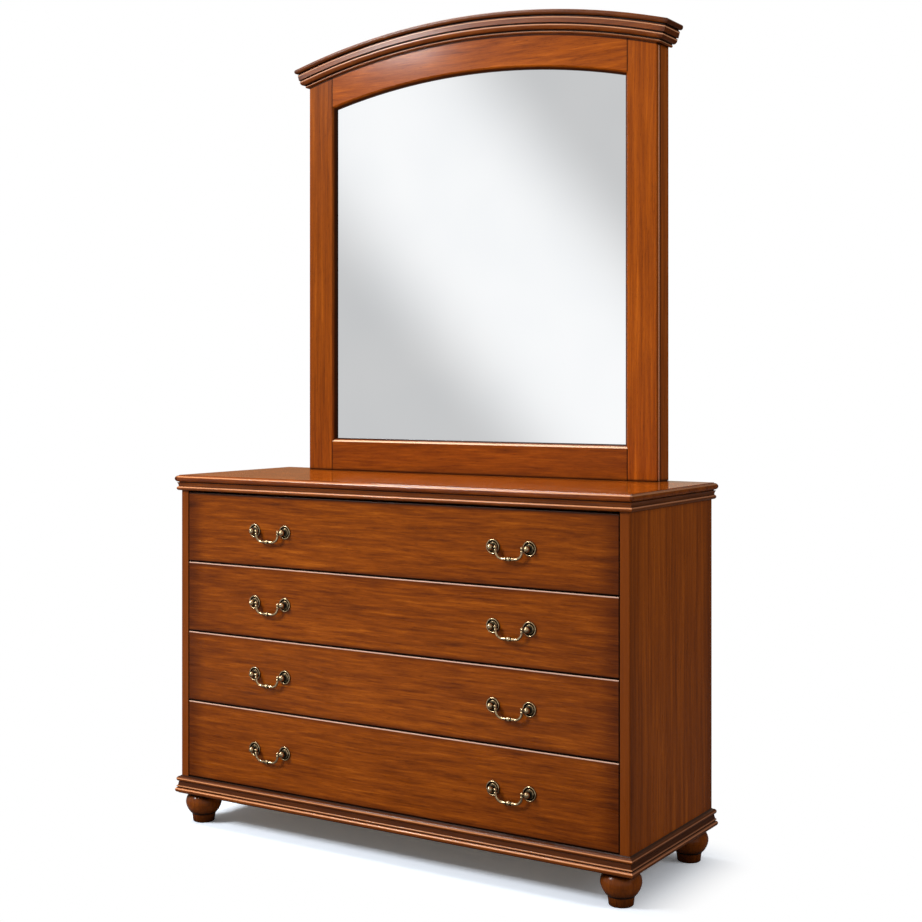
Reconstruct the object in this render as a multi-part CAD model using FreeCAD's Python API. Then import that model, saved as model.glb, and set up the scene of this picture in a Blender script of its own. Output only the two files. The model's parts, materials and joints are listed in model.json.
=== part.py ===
import FreeCAD
import Part
import math
import os

# Dresser with four drawers on turned feet, carrying a framed mirror with an arched top.
# Millimetres. X runs across the front, -Y is the front, Z is up, and the floor is z = 0.
# The origin is on the floor, midway between the foremost and the rearmost point.

# Case
case_width = 1200.0
case_depth = 416.0
panel_thickness = 22.0
panel_arris = 3.0
back_thickness = 5.0
rail_thickness = 18.0
bottom_thickness = 18.0
stretcher_depth = 80.0
stretcher_setback = 2.0

# Heights, from the floor up
foot_height = 71.0
base_height = 42.0
lower_front_height = 181.4
upper_front_height = 164.4
upper_drawers = 3
bottom_gap = 2.0
front_gap = 3.0
top_gap = 4.4
top_moulding_height = 19.0
top_thickness = 18.0

# Edge of the top board
top_overhang = 11.5
top_bead_radius = 7.5
top_quirk = 1.3

# Moulding under the top board
top_lower_overhang = 8.2
top_lower_bead_radius = 5.0
top_cove_overhang = 4.8
top_cove_high_overhang = 7.6
top_cove_sag = 0.6

# Moulding round the base
base_overhang = 11.0
base_torus_radius = 6.1
base_lip = 1.3
base_astragal_overhang = 8.4
base_astragal_radius = 2.2
base_quirk_overhang = 6.0
base_quirk = 0.6
base_cove_overhang = 4.4
base_cove_slack = 0.5
base_cove_rise = 1.0
base_bead_overhang = 8.7
base_bead_radius = 6.2
base_ledge = 2.0

# Feet
foot_inset_x = 38.0
foot_inset_y = 38.0
foot_top_radius = 31.0
foot_bulb_radius = 43.0
foot_bulb_height = 45.5
foot_waist_radius = 29.5
foot_waist_height = 20.5
foot_waist_step = 1.5
foot_pad_radius = 28.2
foot_sole_radius = 26.0
foot_sole_round = 3.0
# Where the bulb's outline passes, as shares of its rise and its swell, below and above its widest place
foot_low_swell = 0.66
foot_low_rise = 0.46
foot_high_swell = 0.72
foot_high_rise = 0.62
tenon_radius = 11.0
tenon_length = 22.0
tenon_clearance = 0.3
foot_block_width = 68.0
foot_block_depth = 70.0

# Drawers
side_gap = 1.8
front_thickness = 20.0
front_arris = 2.0
box_wall = 12.0
box_back_gap = 31.0
box_drop = 22.0
box_rise = 12.0
box_side_gap = 6.0
box_bottom_thickness = 6.0
box_bottom_rise = 8.0
bottom_groove_depth = 3.0
bottom_tongue = 6.0
runner_groove_depth = 6.0
groove_clearance = 0.3
runner_height = 20.0
runner_setback = 5.0

# Handles
handle_inset = 275.0
handle_spacing = 88.9
rosette_radius = 16.0
rosette_rim_radius = 1.5
rosette_base = 1.6
rosette_dome_radius = 10.6
rosette_dome_height = 5.0
rosette_groove_radius = 12.4
rosette_groove_floor = 0.8
rosette_dome_bulge = 1.0
rosette_dome_share = 0.68
knob_forward = 12.0
knob_radius = 7.0
stem_radius = 3.0
stem_foot_radius = 4.4
stem_foot_height = 1.2
shank_radius = 2.4
shank_clearance = 0.3
shank_tail = 1.0
nut_width = 8.0
nut_height = 3.5
nut_clearance = 0.05
pin_forward = 10.8
pin_radius = 1.5
pin_clearance = 0.05
pin_past_centre = 0.6
pin_end_gap = 0.4
bail_drop = 23.5
bail_leg_x = 31.9
bail_bend_radius = 17.0
bail_radius = 2.9
bail_swell_radius = 3.6
bail_end_ball_radius = 4.2
bail_end_ball_x = 32.4
bail_bead_radius = 3.7
bail_bead_drop = 6.4
bail_centre_bead_radius = 5.2
bail_centre_bead_length = 6.6
bail_collar_radius = 4.4
bail_collar_width = 1.4
bail_collar_taper = 1.0

# Mirror
mirror_inset = 109.4
mirror_depth = 65.0
mirror_side_height = 987.0
arch_radius = 1870.0
stile_width = 72.0
rail_width = 73.0
frame_thickness = 20.0
bevel = 9.0
lip_thickness = 3.0
joint_chamfer = 0.7
edge_face = 4.6
edge_quirk_depth = 2.6
edge_quirk_width = 4.6
edge_bead_step = 0.6
edge_bead_radius = 4.4
stile_arris = 1.2
return_thickness = 18.0
return_inset = 0.6
glass_thickness = 4.0
backing_thickness = 4.0
glass_edge_gap = 1.0
base_board_thickness = 18.0
clip_length = 30.0
clip_width = 14.0
clip_thickness = 1.5
clip_screw_radius = 1.6
clip_head_radius = 3.4
clip_head_height = 1.6
clip_screw_length = 9.0
clip_screw_clearance = 0.05
clip_screw_end_gap = 0.4
clip_tail = 4.8
clip_overlap = 6.3
side_clip_shares = (0.2, 0.5, 0.8)
bolt_radius = 3.0
bolt_hole_clearance = 0.3
bolt_head_radius = 7.5
bolt_head_height = 3.5
bolt_nut_width = 10.0
bolt_nut_height = 5.0
bolt_tail = 1.0
bolt_inset = 90.6
bolt_inner_spread = 280.0

# Cornice, from the frame up: each layer's height, its front overhang, and the rounding of its edge
# below and above. The ends stand out further than the front.
bead_layer = (6.0, 4.8, 2.8, 2.8)
bead_quirk_layer = (1.6, 2.8, 0.0, 0.0)
ovolo_layer = (13.2, 13.0, 8.8, 1.2)
fascia_quirk_layer = (2.0, 9.5, 0.0, 0.0)
fascia_layer = (15.6, 14.2, 1.2, 1.2)
cap_neck_layer = (3.0, 10.5, 0.0, 0.0)
cap_layer = (12.4, 19.2, 5.6, 5.6)
cornice_end_extra = 4.5

# How far a cutting shape runs past what it cuts, and how close two places count as one
spare = 1.0
spare_angle = 1.0
tolerance = 0.01

# Places that follow from the sizes above
half_width = case_width / 2
inner_half = half_width - panel_thickness
handle_x = half_width - handle_inset
mirror_half_width = half_width - mirror_inset
front_reach = case_depth / 2 + knob_forward + knob_radius
back_reach = case_depth / 2 + top_overhang
case_y = (front_reach - back_reach) / 2
front_y = case_y - case_depth / 2
back_y = case_y + case_depth / 2
base_low = foot_height
base_high = foot_height + base_height
fronts_low = base_high + bottom_gap
upper_pitch = upper_front_height + front_gap
case_high = fronts_low + lower_front_height + upper_drawers * upper_pitch + top_gap
board_low = case_high + top_moulding_height
top_z = board_low + top_thickness
foot_x = half_width - foot_inset_x
foot_y = case_depth / 2 - foot_inset_y
box_front_y = front_y + front_thickness
box_back_y = back_y - back_thickness - box_back_gap
box_half = inner_half - box_side_gap
box_inner_half = box_half - box_wall
pivot_y = front_y - pin_forward
mirror_back_y = back_y + top_overhang
mirror_front_y = mirror_back_y - mirror_depth
frame_back_y = mirror_front_y + frame_thickness
stile_inner = mirror_half_width - stile_width
arch_centre_z = top_z + mirror_side_height - math.sqrt(arch_radius ** 2 - mirror_half_width ** 2)
rail_arc = arch_radius - rail_width
rail_top_z = top_z + rail_width
glass_y = mirror_front_y + bevel + lip_thickness


def vec(x, y, z):
    return FreeCAD.Vector(x, y, z)


def box(x0, x1, y0, y1, z0, z1):
    return Part.makeBox(x1 - x0, y1 - y0, z1 - z0, vec(x0, y0, z0))


def outline(place, start, *steps):
    """A closed face. A step is a point to run straight to, or a pair: a point to arc through, and its end."""
    edges = []
    here = start
    for step in steps + (start,):
        if isinstance(step[0], tuple):
            through, end = step
            edges.append(Part.Arc(place(*here), place(*through), place(*end)).toShape())
            here = end
        elif step != here:
            edges.append(Part.LineSegment(place(*here), place(*step)).toShape())
            here = step
    return Part.Face(Part.Wire(edges))


def turned(axis_point, axis, face):
    return face.revolve(axis_point, axis, 360)


def fused(shapes):
    shape = shapes[0]
    for other in shapes[1:]:
        shape = shape.fuse(other)
    return shape.removeSplitter()


def cut_all(shape, tools):
    for tool in tools:
        shape = shape.cut(tool)
    return shape


def mirrored(shape):
    """The same shape on the other side of x = 0."""
    return shape.mirror(vec(0, 0, 0), vec(1, 0, 0))


def rounded(shape, radius, wanted):
    """The shape with a fillet on each edge whose middle point passes the test."""
    edges = []
    for edge in shape.Edges:
        middle = edge.valueAt((edge.FirstParameter + edge.LastParameter) / 2)
        if wanted(middle):
            edges.append(edge)
    return shape.makeFillet(radius, edges)


def near(a, b):
    return abs(a - b) < tolerance


def export(name, *solids):
    shape = solids[0] if len(solids) == 1 else Part.makeCompound(list(solids))
    shape.exportStep("parts/" + name + ".step")


# Mouldings that run round the case, mitred at its corners

def run_round(profile, reach, low, high):
    """Four mitred lengths of one profile, given as a function of a place for (out, z) points."""
    far = reach + spare
    lengths = {}
    x0, x1 = -half_width, half_width
    sides = {
        "front": (lambda out, z: vec(x0 - far, front_y - out, z), vec(case_width + 2 * far, 0, 0),
                  [(x0, front_y), (x1, front_y), (x1 + far, front_y - far), (x0 - far, front_y - far)]),
        "back": (lambda out, z: vec(x0 - far, back_y + out, z), vec(case_width + 2 * far, 0, 0),
                 [(x0, back_y), (x1, back_y), (x1 + far, back_y + far), (x0 - far, back_y + far)]),
        "left": (lambda out, z: vec(x0 - out, front_y - far, z), vec(0, case_depth + 2 * far, 0),
                 [(x0, front_y), (x0, back_y), (x0 - far, back_y + far), (x0 - far, front_y - far)]),
        "right": (lambda out, z: vec(x1 + out, front_y - far, z), vec(0, case_depth + 2 * far, 0),
                  [(x1, front_y), (x1, back_y), (x1 + far, back_y + far), (x1 + far, front_y - far)]),
    }
    for side, (place, along, plan) in sides.items():
        length = profile(place).extrude(along)
        wedge = Part.Face(Part.makePolygon([vec(x, y, low) for x, y in plan + plan[:1]]))
        lengths[side] = length.common(wedge.extrude(vec(0, 0, high - low)))
    return lengths


def top_moulding_profile(place):
    """A bead below, and a cove that spreads out under the top board."""
    centre = top_lower_overhang - top_lower_bead_radius
    bead_top = case_high + 2 * top_lower_bead_radius
    return outline(
        place, (0.0, case_high), (centre, case_high),
        ((top_lower_overhang, case_high + top_lower_bead_radius), (centre, bead_top)),
        (top_cove_overhang, bead_top),
        ((top_cove_overhang + top_cove_sag, (bead_top + board_low) / 2), (top_cove_high_overhang, board_low)),
        (0.0, board_low))


def base_moulding_profile(place):
    """From the floor side up: torus, quirk, astragal, cove and bead, with a sloped ledge on top."""
    torus = base_overhang - base_torus_radius
    torus_low = base_low + base_lip
    torus_high = torus_low + 2 * base_torus_radius
    astragal_low = torus_high + base_quirk
    astragal_high = astragal_low + 2 * base_astragal_radius
    astragal = base_astragal_overhang - base_astragal_radius
    bead = base_bead_overhang - base_bead_radius
    bead_high = base_high - base_ledge
    bead_low = bead_high - 2 * base_bead_radius
    cove_middle = (base_cove_overhang + base_cove_slack, (astragal_high + bead_low) / 2 + base_cove_rise)
    return outline(
        place, (0.0, base_low), (torus, base_low), (torus, torus_low),
        ((base_overhang, torus_low + base_torus_radius), (torus, torus_high)),
        (base_quirk_overhang, torus_high), (base_quirk_overhang, astragal_low), (astragal, astragal_low),
        ((base_astragal_overhang, astragal_low + base_astragal_radius), (astragal, astragal_high)),
        (cove_middle, (base_cove_overhang, bead_low)),
        (bead, bead_low),
        ((base_bead_overhang, bead_low + base_bead_radius), (bead, bead_high)),
        (0.0, base_high))


# Case

def side_panel():
    """The right side panel. Its front edge shows beside the drawers, with its outer arris rounded."""
    panel = box(inner_half, half_width, front_y, back_y, base_low, board_low)
    return rounded(panel, panel_arris, lambda p: near(p.x, half_width) and near(p.y, front_y))


def top_board():
    """A board with a bead and a quirk on all four edges, drilled for the mirror's bolts."""
    flat = top_overhang - top_bead_radius
    bead_high = top_z - top_quirk
    bead_mid = bead_high - top_bead_radius
    bead_low = bead_mid - top_bead_radius

    def section(place, near_edge, far_edge):
        return outline(
            place, (near_edge - flat, board_low), (near_edge - flat, bead_low),
            ((near_edge - top_overhang, bead_mid), (near_edge - flat, bead_high)), (near_edge - flat, top_z),
            (far_edge + flat, top_z), (far_edge + flat, bead_high),
            ((far_edge + top_overhang, bead_mid), (far_edge + flat, bead_low)), (far_edge + flat, board_low))

    reach = top_overhang + spare
    lengthways = section(lambda y, z: vec(-half_width - reach, y, z), front_y, back_y)
    crossways = section(lambda x, z: vec(x, front_y - reach, z), -half_width, half_width)
    board = lengthways.extrude(vec(case_width + 2 * reach, 0, 0))
    board = board.common(crossways.extrude(vec(0, case_depth + 2 * reach, 0)))
    return cut_all(board, bolt_holes())


def bottom_panel():
    rear = back_y - back_thickness
    return box(-inner_half, inner_half, front_y + rail_thickness, rear, base_high - bottom_thickness, base_high)


def back_panel():
    return box(-inner_half, inner_half, back_y - back_thickness, back_y, base_low, board_low)


def top_stretchers():
    """Two flat boards across the case under the top, the rear one drilled for the mirror's bolts."""
    low = board_low - rail_thickness
    setback = box_front_y + stretcher_setback
    rear = back_y - back_thickness
    front = box(-inner_half, inner_half, setback, setback + stretcher_depth, low, board_low)
    back = box(-inner_half, inner_half, rear - stretcher_depth, rear, low, board_low)
    return front, cut_all(back, bolt_holes())


def base_rails():
    """A rail on edge behind the front base moulding, and one under the bottom panel at the back."""
    rear = back_y - back_thickness
    front = box(-inner_half, inner_half, front_y, front_y + rail_thickness, base_low, base_high)
    back = box(-inner_half, inner_half, rear - rail_thickness, rear, base_low, base_high - bottom_thickness)
    return front, back


def foot_places():
    return [(sx * foot_x, case_y + sy * foot_y) for sx in (-1, 1) for sy in (-1, 1)]


def foot_blocks():
    """Corner blocks under the bottom panel, each bored for the tenon of its foot."""
    blocks = []
    low, high = base_low, base_high - bottom_thickness
    rear = back_y - back_thickness - rail_thickness
    for x, y in foot_places():
        outer = math.copysign(inner_half, x)
        x0, x1 = sorted((outer, outer - math.copysign(foot_block_width, x)))
        y0 = front_y + rail_thickness if y < case_y else rear - foot_block_depth
        block = box(x0, x1, y0, y0 + foot_block_depth, low, high)
        bore = Part.makeCylinder(tenon_radius + tenon_clearance, high - low, vec(x, y, low))
        blocks.append(block.cut(bore))
    return blocks


def foot(x, y):
    """A turned foot: sole, pad, waist, bulb and a tenon that stands in its corner block."""
    pad_high = foot_waist_height - foot_waist_step
    place = lambda r, z: vec(x + r, y, z)
    low_arc = (foot_waist_radius + (foot_bulb_radius - foot_waist_radius) * foot_low_swell,
               foot_waist_height + (foot_bulb_height - foot_waist_height) * foot_low_rise)
    high_arc = (foot_top_radius + (foot_bulb_radius - foot_top_radius) * foot_high_swell,
                foot_bulb_height + (foot_height - foot_bulb_height) * foot_high_rise)
    round_mid = foot_sole_round * (1 - math.sqrt(0.5))
    face = outline(
        place, (0.0, 0.0), (foot_sole_radius - foot_sole_round, 0.0),
        ((foot_sole_radius - round_mid, round_mid), (foot_sole_radius, foot_sole_round)),
        (foot_pad_radius, pad_high), (foot_waist_radius, foot_waist_height),
        (low_arc, (foot_bulb_radius, foot_bulb_height)),
        (high_arc, (foot_top_radius, foot_height)),
        (tenon_radius, foot_height), (tenon_radius, foot_height + tenon_length),
        (0.0, foot_height + tenon_length))
    return turned(vec(x, y, 0), vec(0, 0, 1), face)


# Drawers

def front_span(number):
    """Lowest and highest z of a drawer front. Drawer 1 is at the top."""
    if number > upper_drawers:
        return fronts_low, fronts_low + lower_front_height
    low = fronts_low + lower_front_height + front_gap + (upper_drawers - number) * upper_pitch
    return low, low + upper_front_height


def box_span(number):
    low, high = front_span(number)
    return low + box_rise, high - box_drop


def post_places(number):
    """The axis of each handle post of a drawer, as (x, z), and the side that its bail is on."""
    low, high = front_span(number)
    places = []
    for centre in (-handle_x, handle_x):
        for side in (-1, 1):
            places.append((centre + side * handle_spacing / 2, (low + high) / 2, side))
    return places


def drawer_front(number):
    """A solid front, grooved inside for the box's bottom and bored for the handle posts."""
    low, high = front_span(number)
    half = inner_half - side_gap
    front = box(-half, half, front_y, box_front_y, low, high)
    front = rounded(front, front_arris, lambda p: near(p.y, front_y))
    bottom = box_span(number)[0] + box_bottom_rise
    groove = box(-box_inner_half - bottom_groove_depth, box_inner_half + bottom_groove_depth,
                 box_front_y - bottom_tongue, box_front_y,
                 bottom, bottom + box_bottom_thickness)
    bores = []
    for x, z, side in post_places(number):
        radius = shank_radius + shank_clearance
        bores.append(Part.makeCylinder(radius, front_thickness, vec(x, front_y, z), vec(0, 1, 0)))
    return cut_all(front, [groove] + bores)


def runner_span(number):
    low, high = box_span(number)
    middle = (low + high) / 2
    return middle - runner_height / 2, middle + runner_height / 2


def drawer_sides(number):
    """Both sides of a drawer box, grooved outside for the runner and inside for the bottom."""
    low, high = box_span(number)
    run_low, run_high = runner_span(number)
    side = box(box_inner_half, box_half, box_front_y, box_back_y, low, high)
    runner_groove = box(box_half - runner_groove_depth, box_half, box_front_y, box_back_y,
                        run_low - groove_clearance, run_high + groove_clearance)
    bottom = low + box_bottom_rise
    bottom_groove = box(box_inner_half, box_inner_half + bottom_groove_depth, box_front_y, box_back_y,
                        bottom, bottom + box_bottom_thickness)
    side = side.cut(runner_groove).cut(bottom_groove)
    return mirrored(side), side


def drawer_back(number):
    low, high = box_span(number)
    floor = low + box_bottom_rise + box_bottom_thickness
    return box(-box_inner_half, box_inner_half, box_back_y - box_wall, box_back_y, floor, high)


def drawer_bottom(number):
    half = box_inner_half + bottom_groove_depth - groove_clearance
    low = box_span(number)[0] + box_bottom_rise
    front = box_front_y - bottom_tongue + groove_clearance
    return box(-half, half, front, box_back_y, low, low + box_bottom_thickness)


def drawer_runners():
    """A strip on each side panel for each drawer, lying in the groove of the drawer's side."""
    runners = []
    for number in range(1, upper_drawers + 2):
        low, high = runner_span(number)
        inner = box_half - runner_groove_depth + groove_clearance
        front, back = box_front_y + runner_setback, box_back_y - runner_setback
        runner = box(inner, inner_half, front, back, low, high)
        runners += [mirrored(runner), runner]
    return runners


# Handles

def rosette(x, z):
    """A backplate with a rounded rim, a groove inside it and a dome that carries the post."""
    place = lambda r, out: vec(x + r, front_y - out, z)
    rim_middle = rosette_radius - rosette_rim_radius
    rim_inner = rim_middle - rosette_rim_radius
    bore = shank_radius + shank_clearance
    dome_mid = ((rosette_dome_radius + stem_foot_radius) / 2 + rosette_dome_bulge,
                rosette_base + (rosette_dome_height - rosette_base) * rosette_dome_share)
    face = outline(
        place, (bore, 0.0), (rosette_radius, 0.0), (rosette_radius, rosette_base),
        ((rim_middle, rosette_base + rosette_rim_radius), (rim_inner, rosette_base)),
        (rosette_groove_radius, rosette_groove_floor), (rosette_dome_radius, rosette_groove_floor),
        (rosette_dome_radius, rosette_base),
        (dome_mid, (stem_foot_radius, rosette_dome_height)),
        (bore, rosette_dome_height))
    return turned(vec(x, 0, z), vec(0, 1, 0), face)


def post(x, z, side):
    """Ball head, stem, collar and shank in one, with a blind hole for the bail's pin."""
    tail = nut_height + shank_tail
    place = lambda r, out: vec(x + r, front_y - out, z)
    collar = rosette_dome_height + stem_foot_height
    face = outline(
        place, (0.0, -front_thickness - tail), (shank_radius, -front_thickness - tail),
        (shank_radius, rosette_dome_height), (stem_foot_radius, rosette_dome_height),
        (stem_foot_radius, collar), (stem_radius, collar), (stem_radius, knob_forward), (0.0, knob_forward))
    stem = turned(vec(x, 0, z), vec(0, 1, 0), face)
    knob = Part.makeSphere(knob_radius, vec(x, front_y - knob_forward, z))
    hole = Part.makeCylinder(pin_radius + pin_clearance, knob_radius + pin_past_centre + pin_end_gap,
                             vec(x - side * knob_radius, pivot_y, z), vec(side, 0, 0))
    return stem.fuse(knob).removeSplitter().cut(hole)


def hexagon_nut(x, y, z, width, height, bore, axis):
    """A nut whose near face is at the given point, standing along the axis."""
    radius = width / math.sqrt(3)
    corners = []
    for step in range(7):
        angle = math.radians(60 * step)
        a, b = radius * math.cos(angle), radius * math.sin(angle)
        corners.append(vec(x + a, y + b, z) if axis.z else vec(x + a, y, z + b))
    nut = Part.Face(Part.makePolygon(corners)).extrude(axis * height)
    return nut.cut(Part.makeCylinder(bore, height, vec(x, y, z), axis))


def handle_posts(number):
    """Every rosette, post and nut of a drawer's two handles."""
    solids = []
    for x, z, side in post_places(number):
        bore = shank_radius + nut_clearance
        solids.append(rosette(x, z))
        solids.append(post(x, z, side))
        solids.append(hexagon_nut(x, box_front_y, z, nut_width, nut_height, bore, vec(0, 1, 0)))
    return solids


def bail(number, centre):
    """A cast bail: pins and end balls on the pivot line, two beaded legs, and a swelled grip with a bead."""
    z = post_places(number)[0][1]
    grip_z = z - bail_drop
    bend_z = grip_z + bail_bend_radius
    straight = bail_leg_x - bail_bend_radius
    pin_tip = handle_spacing / 2 + pin_past_centre
    pieces = []
    for side in (-1, 1):
        leg_x = centre + side * bail_leg_x
        ball_x = centre + side * bail_end_ball_x
        pin_length = pin_tip - bail_end_ball_x
        pieces.append(Part.makeCylinder(pin_radius, pin_length, vec(ball_x, pivot_y, z), vec(side, 0, 0)))
        pieces.append(Part.makeSphere(bail_end_ball_radius, vec(ball_x, pivot_y, z)))
        pieces.append(Part.makeCylinder(bail_radius, z - bend_z, vec(leg_x, pivot_y, bend_z)))
        pieces.append(Part.makeSphere(bail_bead_radius, vec(leg_x, pivot_y, z - bail_bead_drop)))
        ring = Part.Face(Part.Wire(Part.makeCircle(bail_radius, vec(leg_x, pivot_y, bend_z), vec(0, 0, 1))))
        turn_centre = vec(centre + side * straight, pivot_y, bend_z)
        pieces.append(ring.revolve(turn_centre, vec(0, side, 0), 90))
    collar = bail_centre_bead_length / 2 + bail_collar_width
    bead = bail_centre_bead_length / 2
    place = lambda x, r: vec(centre + x, pivot_y, grip_z + r)
    grip = outline(
        place, (-straight, 0.0), (-straight, bail_radius), (-collar - bail_collar_taper, bail_swell_radius),
        (-collar, bail_swell_radius), (-collar, bail_collar_radius), (-bead, bail_collar_radius),
        ((0.0, bail_centre_bead_radius), (bead, bail_collar_radius)),
        (collar, bail_collar_radius), (collar, bail_swell_radius),
        (collar + bail_collar_taper, bail_swell_radius), (straight, bail_radius), (straight, 0.0))
    pieces.append(turned(vec(centre, pivot_y, grip_z), vec(1, 0, 0), grip))
    return fused(pieces)


# Mirror

def arc_point(radius, x):
    return math.sqrt(radius ** 2 - x ** 2) + arch_centre_z


def under_arch(radius, half, low, y0, y1):
    """The space between two upright planes, above a level and under the arch of the given radius."""
    place = lambda x, z: vec(x, y0, z)
    side_z = arc_point(radius, half)
    face = outline(place, (-half, low), (half, low), (half, side_z),
                   ((0.0, arch_centre_z + radius), (-half, side_z)))
    return face.extrude(vec(0, y1 - y0, 0))


def bolt_places():
    y = (frame_back_y + mirror_back_y) / 2 - return_thickness / 2
    outer, inner = mirror_half_width - bolt_inset, bolt_inner_spread / 2
    return [(x, y) for x in (-outer, -inner, inner, outer)]


def bolt_span():
    """Lowest and highest z of a bolt's shank, between its nut and its head."""
    return board_low - rail_thickness, top_z + base_board_thickness


def bolt_holes():
    low, high = bolt_span()
    radius = bolt_radius + bolt_hole_clearance
    return [Part.makeCylinder(radius, high - low, vec(x, y, low)) for x, y in bolt_places()]


def mirror_bolts():
    """Round-headed bolts with nuts, which hold the mirror's base board down on the case."""
    low, high = bolt_span()
    solids = []
    tail = bolt_nut_height + bolt_tail
    sphere = (bolt_head_radius ** 2 + bolt_head_height ** 2) / (2 * bolt_head_height)
    half_way = math.asin(bolt_head_radius / sphere) / 2
    dome = (sphere * math.sin(half_way), high + bolt_head_height - sphere * (1 - math.cos(half_way)))
    for x, y in bolt_places():
        face = outline(
            lambda r, z: vec(x + r, y, z), (0.0, low - tail), (bolt_radius, low - tail), (bolt_radius, high),
            (bolt_head_radius, high), (dome, (0.0, high + bolt_head_height)))
        solids.append(turned(vec(x, y, 0), vec(0, 0, 1), face))
        bore = bolt_radius + nut_clearance
        solids.append(hexagon_nut(x, y, low, bolt_nut_width, bolt_nut_height, bore, vec(0, 0, -1)))
    return solids


def rail_section(place):
    """Section of a frame member from its inner edge outwards, as (in from the edge, depth)."""
    deep = bevel + lip_thickness
    return outline(
        place, (0.0, 0.0), (bevel, bevel), (bevel, deep), (0.0, deep), (0.0, frame_thickness),
        (-rail_width, frame_thickness), (-rail_width, 0.0))


def joint_grooves():
    """Small chamfers where a rail's face meets a stile, so that the joint shows as a fine line."""
    tools = []
    for side in (-1, 1):
        corner = side * stile_inner
        for way in (-1, 1):
            points = [vec(corner, mirror_front_y, 0), vec(corner + way * joint_chamfer, mirror_front_y, 0),
                      vec(corner, mirror_front_y + joint_chamfer, 0), vec(corner, mirror_front_y, 0)]
            tall = arch_centre_z + arch_radius
            tools.append(Part.Face(Part.makePolygon(points)).extrude(vec(0, 0, tall)))
    return tools


def mirror_bottom_rail():
    place = lambda rise, depth: vec(-stile_inner, mirror_front_y + depth, rail_top_z + rise)
    rail = rail_section(place).extrude(vec(2 * stile_inner, 0, 0))
    return cut_all(rail, joint_grooves() + clip_holes())


def mirror_top_rail():
    """The arched rail: the section of the other rails, turned about the arch's centre line."""
    place = lambda rise, depth: vec(0, mirror_front_y + depth, arch_centre_z + rail_arc - rise)
    face = rail_section(place)
    centre = vec(0, mirror_front_y, arch_centre_z)
    sweep = math.degrees(math.asin(stile_inner / (rail_arc - bevel))) + spare_angle
    face.rotate(centre, vec(0, 1, 0), -sweep)
    rail = face.revolve(centre, vec(0, 1, 0), 2 * sweep)
    high = arch_centre_z + arch_radius + spare
    window = box(-stile_inner, stile_inner, mirror_front_y - spare, mirror_back_y, top_z, high)
    return cut_all(rail.common(window), joint_grooves() + clip_holes())


def mirror_stile():
    """The right stile, with a quirk and bead on its outer edge, coped round both rails."""
    u = mirror_half_width
    front = mirror_front_y
    deep = bevel + lip_thickness
    quirk = edge_face + edge_quirk_width
    bead_start = quirk + edge_bead_step
    bead_end = bead_start + 2 * edge_bead_radius
    arris_mid = stile_arris * (1 - math.sqrt(0.5))
    place = lambda x, depth: vec(x, front + depth, top_z)
    face = outline(
        place, (stile_inner, 0.0), (u - stile_arris, 0.0),
        ((u - arris_mid, arris_mid), (u, stile_arris)), (u, edge_face),
        (u - edge_quirk_depth, edge_face), (u - edge_quirk_depth, bead_start),
        ((u, bead_start + edge_bead_radius), (u - edge_quirk_depth, bead_end)),
        (u - edge_quirk_depth, frame_thickness), (stile_inner, frame_thickness),
        (stile_inner, deep), (stile_inner - bevel, deep), (stile_inner - bevel, bevel))
    tall = arch_centre_z + arch_radius - top_z
    stile = face.extrude(vec(0, 0, tall))
    room = under_arch(arch_radius, u + spare, top_z, front - spare, mirror_back_y + spare)
    rails = [mirror_top_rail(), mirror_bottom_rail()]
    return cut_all(stile.common(room), rails + joint_grooves() + clip_holes())


def mirror_return():
    """The right side board of the mirror's box, behind the stile."""
    outer = mirror_half_width - return_inset
    board = box(outer - return_thickness, outer, frame_back_y, mirror_back_y, top_z, arch_centre_z + arch_radius)
    return board.common(under_arch(arch_radius, outer, top_z, frame_back_y, mirror_back_y))


def mirror_base_board():
    """The board across the foot of the mirror's box, which the bolts hold down."""
    half = mirror_half_width - return_inset - return_thickness
    board = box(-half, half, frame_back_y, mirror_back_y, top_z, top_z + base_board_thickness)
    return cut_all(board, bolt_holes())


def pane(y0, thickness):
    """A pane with the outline of the frame's rebate, less a gap all round."""
    half = stile_inner - glass_edge_gap
    low = rail_top_z + glass_edge_gap
    return under_arch(rail_arc - glass_edge_gap, half, low, y0, y0 + thickness)


def clip_places():
    """Where each clip's screw goes in, as (x, z), and the way to the glass, as (x, z)."""
    places = []
    reach = clip_length / 2
    side_low = rail_top_z
    side_high = arc_point(rail_arc, stile_inner)
    for x in (-stile_inner / 2, stile_inner / 2):
        places.append((x, side_low - reach, 0, 1))
        places.append((x, arc_point(rail_arc, x) + reach, 0, -1))
    for share in side_clip_shares:
        z = side_low + share * (side_high - side_low)
        places.append((-stile_inner - reach, z, 1, 0))
        places.append((stile_inner + reach, z, -1, 0))
    return places


def clip_holes():
    radius = clip_screw_radius + clip_screw_clearance
    length = clip_screw_length + clip_screw_end_gap
    start = frame_back_y - length
    return [Part.makeCylinder(radius, length, vec(x, start, z), vec(0, 1, 0)) for x, z, a, b in clip_places()]


def mirror_clips():
    """Flat clips behind the frame, each with its screw, which hold the backing and the glass in."""
    solids = []
    for x, z, way_x, way_z in clip_places():
        across = clip_width / 2
        along = clip_length / 2 + clip_overlap
        xs = sorted((x - way_x * clip_tail, x + way_x * along)) if way_x else [x - across, x + across]
        zs = sorted((z - way_z * clip_tail, z + way_z * along)) if way_z else [z - across, z + across]
        plate = box(xs[0], xs[1], frame_back_y, frame_back_y + clip_thickness, zs[0], zs[1])
        screw = Part.makeCylinder(clip_screw_radius, clip_screw_length + clip_thickness,
                                  vec(x, frame_back_y - clip_screw_length, z), vec(0, 1, 0))
        head = Part.makeCylinder(clip_head_radius, clip_head_height,
                                 vec(x, frame_back_y + clip_thickness, z), vec(0, 1, 0))
        solids.append(fused([plate, screw, head]))
    return solids


# Cornice

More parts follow.
